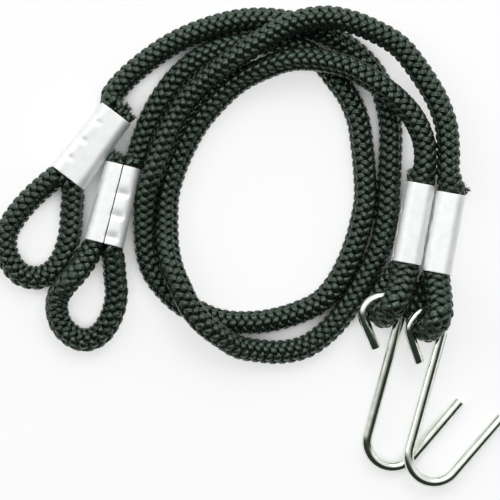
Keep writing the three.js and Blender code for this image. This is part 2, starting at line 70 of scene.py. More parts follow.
camera_data = bpy.data.cameras.new("camera")
camera_data.lens = LENS
camera_data.clip_start = 0.01
camera = bpy.data.objects.new("camera", camera_data)
bpy.context.collection.objects.link(camera)
distance = PICTURE_WIDTH * LENS / camera_data.sensor_width
camera.location = PICTURE_MIDDLE + UP * distance
bpy.context.scene.camera = camera
bpy.context.scene.view_settings.view_transform = "Standard"
print("camera height above the table: %.0f mm" % (camera.location.z / MM))

# %% [markdown]
# ## Colours and nodes
#
# Colours are picked on a screen, so they are sRGB hex values. Shaders add light, so they need linear values, and
# one function converts them. A second small function adds a node, sets its values and links its inputs.


# %% Helpers for materials
def colour(hex_value):
    """An sRGB hex colour as linear RGBA."""
    parts = [int(hex_value[i:i + 2], 16) / 255 for i in (1, 3, 5)]
    return [p / 12.92 if p <= 0.04045 else ((p + 0.055) / 1.055) ** 2.4 for p in parts] + [1.0]


def node(tree, kind, settings=None, **inputs):
    """Adds a node. An input, by its name or as i and its number, is a value or another node's output to link."""
    made = tree.nodes.new(kind)
    for key, value in (settings or {}).items():
        setattr(made, key, value)
    for key, value in inputs.items():
        numbered = key[0] == "i" and key[1:].isdigit()
        socket = made.inputs[int(key[1:]) if numbered else key.replace("_", " ")]
        if isinstance(value, bpy.types.NodeSocket):
            tree.links.new(value, socket)
        else:
            socket.default_value = value
    return made


def new_material(name):
    """An empty material and the tree of its nodes."""
    material = bpy.data.materials.new(name)
    material.use_nodes = True
    material.node_tree.nodes.clear()
    return material, material.node_tree


def finish_material(material, shader):
    """Links the shader to the material's output."""
    node(material.node_tree, "ShaderNodeOutputMaterial", Surface=shader.outputs[0])
    print(material.name, "has", len(material.node_tree.nodes), "nodes")


print("#808080 in linear light:", [round(v, 3) for v in colour("#808080")])

# %% [markdown]
# ## Table and light
#
# The object lies on white card under a wide soft light. The card is a plain diffuse plane, and for the light that
# it throws back at the object it is nothing else. To the rays of the picture, straight or mirrored, it is half as
# bright and adds a white of its own: so the lit card is white in the picture, and the shadow under the cords stays
# but is light. Ambient Occlusion tells how far a place is hemmed in. For straight rays it takes that white away in
# the slits between the cords, which are dark in the photograph: this is painted shade, added to the real shadow
# there. Stronger lamps would whiten the card too, and bleach the metal with it.
#
# The sky is bright overhead and beyond the picture's top, and dark on the other side: flat metal shows it as white,
# and bent wire as a bright back and a dark flank.

# %% Table
TABLE_SIZE = 3  # metres from its middle to an edge
TABLE_DROP = 0.3 * MM  # so that no face of the object lies in it
OWN_WHITE = 0.69
HEMMED_WITHIN = 12 * MM
HEMMED = (0.12, 0.48)  # share of open sky at which that white is gone, and at which it is whole

card, tree = new_material("white_card")
rays = node(tree, "ShaderNodeLightPath")
mirrored = node(tree, "ShaderNodeMath", {"operation": "MAXIMUM"},
                i0=rays.outputs["Is Glossy Ray"], i1=rays.outputs["Is Transmission Ray"])
seen = node(tree, "ShaderNodeMath", {"operation": "MAXIMUM"},
            i0=rays.outputs["Is Camera Ray"], i1=mirrored.outputs[0])
paint = node(tree, "ShaderNodeMix", {"data_type": "RGBA"},
             Factor=seen.outputs[0], i6=colour("#d2d4d3"), i7=colour("#9a9c9b"))
diffuse = node(tree, "ShaderNodeBsdfDiffuse", Color=paint.outputs[2])
# painted shade: where the card is hemmed in by cords, Ambient Occlusion takes its own white away for straight rays
open_sky = node(tree, "ShaderNodeAmbientOcclusion", {"samples": 8}, Distance=HEMMED_WITHIN)
white_outside_painted_shade = node(tree, "ShaderNodeMapRange", Value=open_sky.outputs["AO"], From_Min=HEMMED[0], From_Max=HEMMED[1])
straight = node(tree, "ShaderNodeMath", {"operation": "MULTIPLY"},
                i0=rays.outputs["Is Camera Ray"], i1=white_outside_painted_shade.outputs[0])
share = node(tree, "ShaderNodeMath", {"operation": "MAXIMUM"}, i0=straight.outputs[0], i1=mirrored.outputs[0])
white = node(tree, "ShaderNodeMath", {"operation": "MULTIPLY"}, i0=share.outputs[0], i1=OWN_WHITE)
glow = node(tree, "ShaderNodeEmission", Color=colour("#ffffff"), Strength=white.outputs[0])
finish_material(card, node(tree, "ShaderNodeAddShader", i0=diffuse.outputs[0], i1=glow.outputs[0]))

bm = bmesh.new()
bmesh.ops.create_grid(bm, x_segments=1, y_segments=1, size=TABLE_SIZE)
bmesh.ops.translate(bm, verts=bm.verts, vec=(0, 0, -TABLE_DROP))
mesh = bpy.data.meshes.new("table")
bm.to_mesh(mesh)
bm.free()
mesh.materials.append(card)
table = bpy.data.objects.new("table", mesh)
bpy.context.collection.objects.link(table)

# %% Sky
BRIGHT_SIDE = Vector((0, 0.97, 0.25))
SKY_EDGE = (0.02, 0.24)  # share of that direction at which the sky is still dark, and at which it is white

world = bpy.data.worlds.new("studio")
bpy.context.scene.world = world
world.use_nodes = True
tree = world.node_tree
tree.nodes.clear()
toward = node(tree, "ShaderNodeTexCoord")
side = node(tree, "ShaderNodeVectorMath", {"operation": "DOT_PRODUCT"},
            i0=toward.outputs["Generated"], i1=BRIGHT_SIDE)
bright = node(tree, "ShaderNodeMapRange", Value=side.outputs["Value"], From_Min=SKY_EDGE[0], From_Max=SKY_EDGE[1])
sky = node(tree, "ShaderNodeMix", {"data_type": "RGBA"},
           Factor=bright.outputs[0], i6=colour("#2f3531"), i7=colour("#ffffff"))
rays = node(tree, "ShaderNodeLightPath")
shown = node(tree, "ShaderNodeMix", {"data_type": "RGBA"},
             Factor=rays.outputs["Is Camera Ray"], i6=sky.outputs[2], i7=colour("#ffffff"))
background = node(tree, "ShaderNodeBackground", Color=shown.outputs[2], Strength=1.0)
node(tree, "ShaderNodeOutputWorld", Surface=background.outputs[0])
print(world.name, "has", len(tree.nodes), "nodes")


# %% Lamps
def softbox(name, place, size, power):
    """A square lamp that looks at the middle of the object. Metres and watts."""
    data = bpy.data.lights.new(name, "AREA")
    data.size = size
    data.energy = power
    lamp = bpy.data.objects.new(name, data)
    lamp.location = place
    lamp.rotation_euler = (-Vector(place)).to_track_quat("-Z", "Y").to_euler()
    bpy.context.collection.objects.link(lamp)
    print(name, "lamp: %.1f W, %.2f m away" % (power, lamp.location.length))


softbox("key", (0.15, 0.5, 0.8), 0.5, 2.9)
softbox("fill", (-0.8, 0.4, 0.9), 0.7, 2)

# %% [markdown]
# ## Routes of the cords
#
# A coil could be drawn by hand in the viewport. Here the places that the cord passes are listed as they were read
# from above: millimetres to the right and up, and a level, 0 for a strand on the table and 1 for one that lies on
# another. They are the CAD model's stops. Fifteen of them are up to 0.6 mm off, where the photograph shows no light
# between a cord and its neighbour.

# %% Stops along the coil and the loops
CORD_D = 8 * MM
CORD_R = CORD_D / 2
LEVEL_STEP = 8.45 * MM  # from a strand to one that lies on it

COIL_A = [
    (-51, 56, .05), (-47, 61.5, 0), (-38.5, 69, 0), (-28.5, 75.7, 0), (-16.5, 81, 0), (-3.5, 84.3, 0),
    (7.5, 84.6, 0), (18.4, 82.8, 0), (29.3, 78.8, 0), (39.5, 72, 0), (46.5, 64, 0), (50, 55.5, 0), (52, 45.5, 0),
    (52, 34.5, 0), (51.5, 23.5, 0), (50.6, 11.5, 0), (48.1, 0.1, 0), (42.5, -11.5, 0), (36.5, -21.5, 0),
    (29.5, -30, 0), (20.5, -36.5, 0), (11, -38.5, .03), (3, -38, .15), (-4.5, -36.5, .42), (-11, -32.5, .8),
    (-17.5, -27.5, 1), (-22, -22, 1), (-25.5, -15, .98), (-28.5, -8, .8), (-30.3, 0, .48), (-30.8, 9.5, .12),
    (-30.4, 19.5, .01), (-27.8, 29, .01), (-24.2, 37.4, 0), (-19.7, 45.5, .02), (-12.7, 54, .1), (-4.2, 61.6, .3),
    (5.5, 66.5, .7), (15, 69.5, 1), (25, 69.5, 1.02), (36, 67, 1), (46, 61.5, 1.02), (54.5, 55, 1),
    (60.5, 48, .95), (64.2, 39.5, .88), (64.7, 30.5, .8),
]
COIL_B = [
    (-42, 33.5, .08), (-40, 39.5, .02), (-37, 47.5, .01), (-33, 55, .01), (-27.5, 62.5, 0), (-20.5, 69, 0),
    (-12, 73.5, 0), (-2.5, 75.5, 0), (7.5, 75.5, 0), (17.1, 74.2, 0), (25.2, 70.2, 0), (31.5, 63, 0), (36.5, 56, 0),
    (40, 47.5, 0), (41.5, 38, 0), (42.5, 28, 0), (42.7, 18, 0), (40.7, 7.5, 0), (37.5, -2.5, 0), (32.8, -11.9, 0),
    (26.3, -19.6, 0), (18, -23.8, 0), (7.5, -26.8, 0), (-3.5, -27.7, 0), (-12.5, -26.5, 0), (-19.5, -23.5, 0),
    (-25.5, -20.5, 0), (-31, -15.5, 0), (-35.5, -9.5, 0), (-38, -2.5, 0), (-38.9, 5.5, .03), (-38.8, 14, .15),
    (-38, 21.5, .35), (-36, 28, .55), (-33.5, 35, .57), (-31, 41.5, .54), (-28, 47.5, .48), (-23.5, 54.5, .46),
    (-18, 60.5, .5), (-11.5, 66, .7), (-4.5, 71, .94), (3, 76, 1.04), (10.5, 80.5, 1.04), (19, 84, 1.02),
    (28.5, 85.2, 1.02), (37, 83.7, 1), (46.2, 80.1, .9), (55.2, 74.6, .8), (62.7, 65.3, .75), (69, 55, .75),
    (72.4, 45.5, .75), (73.3, 36.5, .75), (73.3, 28, .75),
]
LOOP_A = [
    (-75.5, 23.5, .08), (-81.5, 18, .02), (-86.5, 12, 0), (-90, 6, 0), (-90.5, 0, 0), (-88.5, -5.5, 0),
    (-85, -9.5, 0), (-79.5, -11, 0), (-74.5, -9.5, 0), (-70.5, -5.5, 0), (-68, 0, 0), (-66.5, 6.5, 0),
    (-66, 13.5, .02), (-65.5, 19.5, .08),
]
LOOP_B = [
    (-50.5, -4.5, .25), (-50, -10.5, .1), (-49.5, -16.5, .02), (-50.5, -23, .01), (-53, -28.5, 0),
    (-56.5, -32.5, 0), (-61.5, -34, 0), (-66.5, -32, 0), (-70, -28, .05), (-71.5, -22.5, .2), (-71, -18, .45),
    (-68, -13.5, .75), (-64, -9, .8), (-60.5, -4, .6),
]


def free_stops(route):
    """Each stop is a point, the cord's two squeezes there and the direction of the first one."""
    return [(Vector((x * MM, y * MM, CORD_R + level * LEVEL_STEP)), (1, 1), None) for x, y, level in route]


print("stops:", len(COIL_A) + len(LOOP_A), "and", len(COIL_B) + len(LOOP_B))

# %% [markdown]
# ## Places of the ferrules
#
# A ferrule holds two legs of cord side by side. Two ferrules lie flat and two stand on their narrow side, so each
# has a roll. Its own y axis runs along it from the end with the fold, x points to the long cord and z out of
# the face with the seam. Inside, each leg is pressed to half of the room, and that is where the sheath gets thin.

# %% Ferrule frames
FERRULE_LENGTH = 30 * MM
WIDTH_CORD_END = 13.4 * MM
WIDTH_FOLD_END = 15.2 * MM
FERRULE_THICK = 11 * MM
CORNER_R = 3.6 * MM

# fold end in plan (mm), heading and roll (degrees), lift of the fold end (mm), cut tail: length and lean (mm)
FERRULES = {
    "ferrule_loop_a": ((-67.6, 26.1), 52.6, 180, 0, (2.6, -0.4, 0)),
    "ferrule_loop_b": ((-54.2, 1.5), 75.9, 0, 1.5, (2.4, 0.6, 0)),
    "ferrule_hook_a": ((57.6, -5.7), 79.5, -86, 0, (4, -0.4, 1.8)),
    "ferrule_hook_b": ((68.9, -9.3), 79.6, -90, 0, (4, -0.4, -2.6)),
}


def ferrule_width(along):
    """The strip is pressed narrower at the cord end than at the fold end."""
    return WIDTH_FOLD_END + (WIDTH_CORD_END - WIDTH_FOLD_END) * along / FERRULE_LENGTH


def rest_height(width, roll):
    """Height of a ferrule's middle line over the table, for its width and its roll."""
    across = abs(sin(roll)) * (width / 2 - CORNER_R)
    through = abs(cos(roll)) * (FERRULE_THICK / 2 - CORNER_R)
    return across + through + CORNER_R


def ferrule_matrix(name):
    """From a ferrule's own axes to the table."""
    (x, y), heading, roll, lift, _ = FERRULES[name]
    low = rest_height(WIDTH_FOLD_END, radians(roll)) + lift * MM
    pitch = asin((rest_height(WIDTH_CORD_END, radians(roll)) - low) / FERRULE_LENGTH)
    turn = Matrix.Rotation(radians(heading - 90), 4, "Z") @ Matrix.Rotation(pitch, 4, "X")
    turn = turn @ Matrix.Rotation(radians(roll), 4, "Y")
    return Matrix.Translation((x * MM, y * MM, low)) @ turn


for name in FERRULES:
    low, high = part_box(name)
    print(name, "CAD middle", [round(v / MM, 1) for v in (Vector(low) + Vector(high)) / 2],
          "frame middle", [round(v / MM, 1) for v in ferrule_matrix(name) @ Vector((0, FERRULE_LENGTH / 2, 0))])

# %% Pressed legs
WALL = 0.9 * MM
FIT = 0.3 * MM  # from a leg to the wall
LEG_GAP = 0.45 * MM
MOUTH = 1 * MM
MOUTH_SPREAD = (0.98, 1.22)  # the legs swell again as soon as they are out of the ferrule
TAIL_SPREAD = (0.76, 0.98)


def leg_stop(place, along, side, lean=(0, 0), squeeze=None):
    """A stop of the leg on one side (1: the long cord). Without a squeeze it is pressed to its half of the room."""
    wall_side = ferrule_width(min(max(along, 0), FERRULE_LENGTH)) / 2 - WALL - FIT
    middle, across = (wall_side + LEG_GAP / 2) / 2, (wall_side - LEG_GAP / 2) / 2
    through = FERRULE_THICK / 2 - WALL - FIT
    point = place @ Vector((side * middle + lean[0], along, lean[1]))
    return point, squeeze or (across / CORD_R, through / CORD_R), place.to_3x3() @ Vector((1, 0, 0))


def leg_stops(place, side):
    """One leg through a ferrule, from its cord end to its fold end."""
    inside = [leg_stop(place, along, side) for along in (FERRULE_LENGTH, FERRULE_LENGTH / 2, 0)]
    mouths = [leg_stop(place, along, side, squeeze=MOUTH_SPREAD) for along in (FERRULE_LENGTH + MOUTH, -MOUTH)]
    return mouths[:1] + inside + mouths[1:]


def tail_stops(name):
    """The cut tail, spread a little where it comes out, and its leg."""
    place, (length, *lean) = ferrule_matrix(name), FERRULES[name][4]
    end = leg_stop(place, FERRULE_LENGTH + length * MM, -1, [v * MM for v in lean], TAIL_SPREAD)
    return [end] + leg_stops(place, -1)


print("squeezes of a leg at the fold end: %.2f and %.2f" % leg_stop(Matrix(), 0, 1)[1])

# %% [markdown]
# ## Places of the hooks and the bights that hold them
#
# A hook lies on the bight under its eye and on its prong, so its plane leans. The bight goes over the eye's wire,
# round its front and back under it: half a circle about the wire, in stops 30 degrees apart.

# %% Hook frames
# middle of the eye (mm), turn in plan, upward normal of the hook's plane, twist of the eye, the angle round the
# eye at which the bight holds it, the share of the wire's slope that the bight follows, and how far its lower leg
# lies to the left of the upper one (mm)
HOOKS = {
    "hook_a": ((48.7, -24.8, 10.062), -14.7, (0.14103, -0.11918, 0.98281), 0, 70, 1, 1.8),
    "hook_b": ((64.5, -30, 8.302), -15.6, (0.16282, -0.04665, 0.98555), 18, 82, 0.7, 2.8),
}


def hook_matrix(name):
    """From a hook's own axes, with the eye's middle at the origin and the shank along -y, to the table."""
    eye, heading, normal = HOOKS[name][:3]
    turn = UP.rotation_difference(Vector(normal)).to_matrix().to_4x4()
    return Matrix.Translation(Vector(eye) * MM) @ turn @ Matrix.Rotation(radians(heading), 4, "Z")


for name in HOOKS:
    print(name, "eye at", [round(v / MM, 1) for v in hook_matrix(name).translation])

# %% Bights
WIRE_D = 4 * MM
WIRE_R = WIRE_D / 2
EYE_R = 6.8 * MM
BIGHT_ROOM = 0.6 * MM  # a bight bends wider than the wire asks
BIGHT_R = CORD_R + WIRE_R + FIT + BIGHT_ROOM
BIGHT_SHIFT = (0.2 * MM, 0.6 * MM)  # of its middle from the wire's, towards its tip and upwards
BIGHT_SPREAD = (0.96, 1.15)  # the cord flattens over the wire, and more so under it
BIGHT_UNDER = (0.96, 1.35)
UNDER_FROM = -60  # degrees round the wire


def bight_stops(name):
    """Half a circle of stops round the wire, from above it to below."""
    place, (twist, seat, lean, aside) = hook_matrix(name), HOOKS[name][3:]
    twist, seat = radians(twist), radians(seat)
    out = EYE_R * (1 - cos(seat))
    spot = place @ Vector((EYE_R - out * cos(twist), EYE_R * sin(seat), out * sin(twist)))
    way = place.to_3x3() @ Vector((sin(seat) * cos(twist), -cos(seat), -sin(seat) * sin(twist)))
    way.z *= lean
    way.normalize()
    tipward = way.cross(UP).normalized()
    upward = tipward.cross(way)
    middle = spot + tipward * BIGHT_SHIFT[0] + UP * BIGHT_SHIFT[1]
    stops = []
    for turn in range(90, -91, -30):
        ray = upward * sin(radians(turn)) + tipward * cos(radians(turn))
        shift = way * aside * MM * max(0, -sin(radians(turn)))
        stops.append((middle + ray * BIGHT_R - shift, BIGHT_SPREAD if turn > UNDER_FROM else BIGHT_UNDER, ray))
    return stops


print("a bight bends round %.1f mm, in %d stops" % (BIGHT_R / MM, len(bight_stops("hook_a"))))

# %% [markdown]
# ## One smooth line through the stops
#
# A Bezier curve would need two handles at each stop. A Catmull-Rom spline needs none: it passes through every stop
# and its direction there comes from the neighbours. The centripetal kind makes no loops where stops are close,
# and the CAD model uses it too. The line is then sampled at even steps, each with a frame that is carried
# along without twist, so the braid's pattern doesn't spin round the cord.


# %% Splines
def smooth_line(stops, per_span=24):
    """Points, squeezes and squeeze directions along a centripetal Catmull-Rom spline."""
    places = np.array([stop[0] for stop in stops])
    places = np.vstack([2 * places[0] - places[1], places, 2 * places[-1] - places[-2]])
    points, squeezes, ways = [], [], []
    for i in range(len(stops) - 1):
        p0, p1, p2, p3 = places[i:i + 4]
        d0, d1, d2 = (sqrt(np.linalg.norm(b - a)) for a, b in ((p0, p1), (p1, p2), (p2, p3)))
        t1 = ((p1 - p0) / d0 - (p2 - p0) / (d0 + d1) + (p2 - p1) / d1) * d1
        t2 = ((p2 - p1) / d1 - (p3 - p1) / (d1 + d2) + (p3 - p2) / d2) * d1
        share = np.linspace(0, 1, per_span, endpoint=i == len(stops) - 2)[:, None]
        points.append(p1 + t1 * share + (3 * (p2 - p1) - 2 * t1 - t2) * share ** 2
                      + (2 * (p1 - p2) + t1 + t2) * share ** 3)
        here, there = (np.array(stops[k][1]) for k in (i, i + 1))
        squeezes.append(here + (there - here) * share)
        way = stops[i][2] or stops[i + 1][2] or Vector((0, 0, 0))
        ways.append(np.repeat([way], len(share), axis=0))
    return np.vstack(points), np.vstack(squeezes), np.vstack(ways)


print("points on the first loop:", len(smooth_line(free_stops(LOOP_A))[0]))

# %% Even steps
STEP = 0.28 * MM


def even_line(stops):
    """The line at even steps: points, tangents, two sides of its frame, squeezes and their directions."""
    points, squeezes, ways = smooth_line(stops)
    along = np.concatenate([[0], np.cumsum(np.linalg.norm(np.diff(points, axis=0), axis=1))])
    even = np.linspace(0, along[-1], int(along[-1] / STEP) + 1)
    pick = np.clip(np.searchsorted(along, even), 0, len(along) - 1)
    points, squeezes = (np.column_stack([np.interp(even, along, column) for column in values.T])
                        for values in (points, squeezes))
    ways = ways[pick]
    tangents = np.gradient(points, axis=0)
    tangents /= np.linalg.norm(tangents, axis=1)[:, None]
    sides = [np.cross(tangents[0], UP)]
    for tangent in tangents:
        side = sides[-1] - tangent * np.dot(sides[-1], tangent)
        sides.append(side / np.linalg.norm(side))
    sides = np.array(sides[1:])
    return {"along": even, "points": points, "tangents": tangents, "sides": sides,
            "others": np.cross(tangents, sides), "squeezes": squeezes, "ways": ways}


print("steps along the first loop:", len(even_line(free_stops(LOOP_A))["along"]))


# %% Whole cords
def cord_line(letter, loop, coil):
    """The whole cord: tail, loop, leg, coil, leg, bight and second tail."""
    loop_ferrule, hook_ferrule = "ferrule_loop_" + letter, "ferrule_hook_" + letter
    return even_line(tail_stops(loop_ferrule) + free_stops(loop)[::-1]
                     + leg_stops(ferrule_matrix(loop_ferrule), 1)[::-1] + free_stops(coil)
                     + leg_stops(ferrule_matrix(hook_ferrule), 1) + bight_stops("hook_" + letter)
                     + tail_stops(hook_ferrule)[::-1])


LINES = {"cord_a": cord_line("a", LOOP_A, COIL_A), "cord_b": cord_line("b", LOOP_B, COIL_B)}
for name, line in LINES.items():
    print(name, "is %.0f mm long, in %d steps" % (line["along"][-1] / MM, len(line["along"])))

# %% [markdown]
# ## Where the cord is pressed
#
# The cord is soft: a ferrule presses it thin, and it flattens on a wire. Scaling each ring of a sweep by hand would
# do that too. Here each step of the line has two squeezes, one along the direction that its stop gives and one
# square to it, and one function moves every point of the braid by them.

# %% Squeezed sections
TINY = 1e-6


def pressed(line, offsets):
    """Offsets from the line, squeezed where the cord is pressed. Offsets are (steps, any, 3)."""
    across = line["ways"] - line["tangents"] * np.sum(line["ways"] * line["tangents"], axis=1)[:, None]
    size = np.linalg.norm(across, axis=1)[:, None]
    across = np.where(size > TINY, across / np.maximum(size, TINY), line["sides"])
    through = np.cross(line["tangents"], across)
    for way, k in ((across, 0), (through, 1)):
        share = np.einsum("nki,ni->nk", offsets, way) * (line["squeezes"][:, k] - 1)[:, None]
        offsets = offsets + share[:, :, None] * way[:, None, :]
    return offsets


print("the tightest squeeze: %.2f" % min(line["squeezes"].min() for line in LINES.values()))

# %% [markdown]
# ## The braid
#
# A sheath like this is braided from eight flat strands of yarn: four run round the rubber to the right, four to the
# left, and each goes over one and under one. The floats line up in eight columns of small beads, which is what
# catches the light on the real cord. A bump map on a plain tube would give that pattern, but a flat outline and no
# shadow in the valleys. So the strands are made: each is a low arch in section, swept along a helix on the cord's
# line, and its distance from the middle rises and falls as it passes over and under. No operator sweeps a woven
# section, so the rings of each strand are worked out and joined.

# %% Woven strands
STRANDS = 4  # each way
LAY = 12.8 * MM  # length of cord in which a strand goes once round
CROSSING = LAY / (2 * STRANDS)
STRAND_WIDTH = 2.7 * MM
WIDTH_MEAN, WIDTH_SWING = 0.84, 0.16  # a strand is widest where it floats and narrowest where it dives
WIDTH_DRIFT, WIDTH_DRIFT_LENGTH = 0.05, 13 * MM
BEND_SPREAD = (0.7, 1.6)  # least and most that a bend makes of the width
STRAND_RISE = 0.5 * MM  # how far the arch stands up from its edges
ARCH = ((-0.5, 0), (-0.24, 1), (0.24, 1), (0.5, 0))  # its corners: across in widths, and up in rises
WEAVE_DEPTH = 0.46 * MM
PROUD = 0.48 * MM  # how far the backs of the floats stand out of the round cord
WEAVE_R = CORD_R + PROUD - WEAVE_DEPTH - STRAND_RISE
DRIFT, DRIFT_LENGTH, START_DRIFT = 0.035, 9.3 * MM, 0.02  # of a strand round the cord, in radians
random = np.random.default_rng(7)


def woven_strands(line):
    """Vertices (strand, step, 4 corners) of all strands, and each corner's place along and across its strand."""
    along = line["along"]
    angle_per_length = 2 * pi / LAY
    curving = np.gradient(line["tangents"], along, axis=0)
    corners, weave = [], []
    for way in (1, -1):
        over = np.cos(pi * (along / CROSSING)) * way
        for strand in range(STRANDS):
            drift = DRIFT * np.sin(along / DRIFT_LENGTH + random.uniform(0, 6)) + random.normal(0, START_DRIFT)
            angle = way * angle_per_length * along + strand * 2 * pi / STRANDS + drift
            outward = line["sides"] * np.cos(angle)[:, None] + line["others"] * np.sin(angle)[:, None]
            run = line["tangents"] + np.cross(line["tangents"], outward) * WEAVE_R * angle_per_length * way
            run /= np.linalg.norm(run, axis=1)[:, None]
            wide = np.cross(outward, run)
            swing = WIDTH_DRIFT * np.sin(along / WIDTH_DRIFT_LENGTH + random.uniform(0, 6))
            width = STRAND_WIDTH * (WIDTH_MEAN + WIDTH_SWING * over + swing)
            # round a bend the strands spread on the outside and crowd on the inside
            width = width * np.clip(1 - WEAVE_R * np.sum(outward * curving, axis=1), *BEND_SPREAD)
            rings = []
            for share, rise in ARCH:
                reach = WEAVE_R + WEAVE_DEPTH * over + rise * STRAND_RISE
                rings.append(outward * reach[:, None] + wide * (share * width)[:, None])
            woven = pressed(line, np.stack(rings, axis=1)) + line["points"][:, None, :]
            woven[:, :, 2] = np.maximum(woven[:, :, 2], 0)  # the cord is soft and lies flat on the table
            corners.append(woven)
            tone = random.uniform(0, 1)
            weave.append([[(s / MM, share + 0.5, tone) for share, _ in ARCH] for s in along])
    return np.array(corners), np.array(weave)


print("a float every %.1f mm along each of %d columns" % (2 * CROSSING / MM, 2 * STRANDS))


# %% Faces of the strands
def ring_faces(strands, steps, sides):
    """Quads round and along each strand, with a cap at both of its ends."""
    index = np.arange(strands * steps * sides).reshape(strands, steps, sides)
    turned = np.roll(index, -1, axis=2)
    quads = np.stack([index[:, :-1], turned[:, :-1], turned[:, 1:], index[:, 1:]], axis=-1).reshape(-1, 4)
    caps = np.vstack([index[:, 0, ::-1], index[:, -1]])
    return np.vstack([quads, caps])


print("faces of a strand of two rings:", len(ring_faces(1, 2, len(ARCH))))

# %% [markdown]
# ## Frayed ends
#
# Where a cord was cut, the last few millimetres of the yarn have come loose. Some stand out as single short hairs,
# some still hang together in locks. Each hair is a thin four-sided tube along a bent line, and the same function
# that joins the strands' rings joins them.

# %% Loose yarn ends
HAIRS = 46
LOCKS = 5  # of longer hairs that still hang together
LOCK_HAIRS = 14
# least and most of a hair's place round the cord (radians), length (mm), lean outwards and lean round the cord
HAIR_RANGE = ((0, 1.0, 0.0, -0.7), (2 * pi, 2.6, 0.9, 0.7))
LOCK_RANGE = ((0, 2.2, 0.4, -0.6), (2 * pi, 3.1, 0.9, 0.6))
LOCK_SPREAD = (0.16, 0.2, 0.06, 0.08)
HAIR_ROOTS = (0.55, 0.85)  # between the cord's middle and its outside
HAIR_DEPTH = 0.6 * MM  # of the roots behind the cut
HAIR_FLOOR = 0.3 * MM
HAIR_STEPS = 6
HAIR_R = 0.11 * MM
HAIR_TAPER = 0.6
ENDS = ((0, -1), (-1, 1))  # a line's first and last step, and the way out of the cord there


def loose_ends(line):
    """Hairs at both cut ends: vertices (hair, step, 4 corners) and their weave values."""
    corners = []
    share = np.linspace(0, 1, HAIR_STEPS)[:, None]
    thin = HAIR_R * (1 - HAIR_TAPER * share)
    tail_r = CORD_R * np.mean(TAIL_SPREAD)
    for end, forward in ENDS:
        point, tangent = line["points"][end], line["tangents"][end] * forward
        hairs = [random.uniform(*HAIR_RANGE) for _ in range(HAIRS)]
        locks = [random.uniform(*LOCK_RANGE) for _ in range(LOCKS)]
        hairs += [lock + random.normal(0, LOCK_SPREAD) for lock in locks for _ in range(LOCK_HAIRS)]
        for angle, length, lean, twirl in hairs:
            out = line["sides"][end] * cos(angle) + line["others"][end] * sin(angle)
            aside = np.cross(tangent, out)
            start = point + out * random.uniform(*HAIR_ROOTS) * tail_r - tangent * HAIR_DEPTH
            middle = start + length * MM * (tangent * share + (out * lean + aside * twirl) * share ** 2)
            middle[:, 2] = np.maximum(middle[:, 2], HAIR_FLOOR)
            corners.append(np.stack([middle + way * thin for way in (out, aside, -out, -aside)], axis=1))
    corners = np.array(corners)
    return corners, np.full(corners.shape, 0.5)


print("hairs at a cut end:", HAIRS + LOCKS * LOCK_HAIRS)

# %% [markdown]
# ## Dyed polyester yarn
#
# Black textile yarn is never quite black: each strand is a band of fine filaments side by side, and their
# rounded backs throw a grey-green glint along the strand. The material takes its lines across each strand from
# the weave attribute, so they follow the yarn. Real filaments are far too fine to show, so only six lines are drawn
# across a strand. Its back is smooth and its edges are fuzzy, so the roughness rises from the middle outwards.
# Drawn polyester bends light more along the filament than across it, and 1.7 is near its upper value.

# %% Braid material
FILAMENT_LINES = 6
FUZZ = 0.5 * MM
PATCH = 9 * MM

braid, tree = new_material("black_polyester_yarn")
weave = node(tree, "ShaderNodeAttribute", {"attribute_name": "weave"})
parts = node(tree, "ShaderNodeSeparateXYZ", Vector=weave.outputs["Vector"])
lines = node(tree, "ShaderNodeMath", {"operation": "MULTIPLY"}, i0=parts.outputs["Y"], i1=FILAMENT_LINES * 2 * pi)
ridges = node(tree, "ShaderNodeMath", {"operation": "SINE"}, i0=lines.outputs[0])
place = node(tree, "ShaderNodeTexCoord")
fuzz = node(tree, "ShaderNodeTexNoise", Vector=place.outputs["Object"], Scale=1 / FUZZ, Detail=2.0)
patch = node(tree, "ShaderNodeTexNoise", Vector=place.outputs["Object"], Scale=1 / PATCH, Detail=1.0)
mottle = node(tree, "ShaderNodeMath", {"operation": "MULTIPLY_ADD"},
              i0=fuzz.outputs["Fac"], i1=0.55, i2=patch.outputs["Fac"])
tone = node(tree, "ShaderNodeMath", {"operation": "MULTIPLY_ADD"},
            i0=parts.outputs["Z"], i1=0.25, i2=mottle.outputs[0])
shade = node(tree, "ShaderNodeValToRGB", Fac=tone.outputs[0])
for stop, position, dye in zip(shade.color_ramp.elements, (0.45, 1.0), ("#030504", "#111713")):
    stop.position, stop.color = position, colour(dye)
height = node(tree, "ShaderNodeMath", {"operation": "MULTIPLY_ADD"},
              i0=fuzz.outputs["Fac"], i1=1.2, i2=ridges.outputs[0])
bump = node(tree, "ShaderNodeBump", Height=height.outputs[0], Distance=0.05 * MM, Strength=0.6)
half_turn = node(tree, "ShaderNodeMath", {"operation": "MULTIPLY"}, i0=parts.outputs["Y"], i1=pi)
back = node(tree, "ShaderNodeMath", {"operation": "SINE"}, i0=half_turn.outputs[0])
rough = node(tree, "ShaderNodeMapRange", Value=back.outputs[0], To_Min=0.6, To_Max=0.18)
yarn = node(tree, "ShaderNodeBsdfPrincipled", Base_Color=shade.outputs["Color"], Roughness=rough.outputs[0],
            IOR=1.7, Specular_IOR_Level=0.78, Specular_Tint=colour("#c8e6cd"), Normal=bump.outputs[0])
finish_material(braid, yarn)


# %% Sheaths
def add_piece(name, mesh, materials, body, smooth_angle=None):
    """A finished piece at the origin, riding on a body."""
    for material in materials:
        mesh.materials.append(material)
    mesh.shade_smooth()
    if smooth_angle:
        mesh.set_sharp_from_angle(angle=radians(smooth_angle))
    piece = bpy.data.objects.new(name, mesh)
    bpy.context.collection.objects.link(piece)
    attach(piece, body)
    return piece


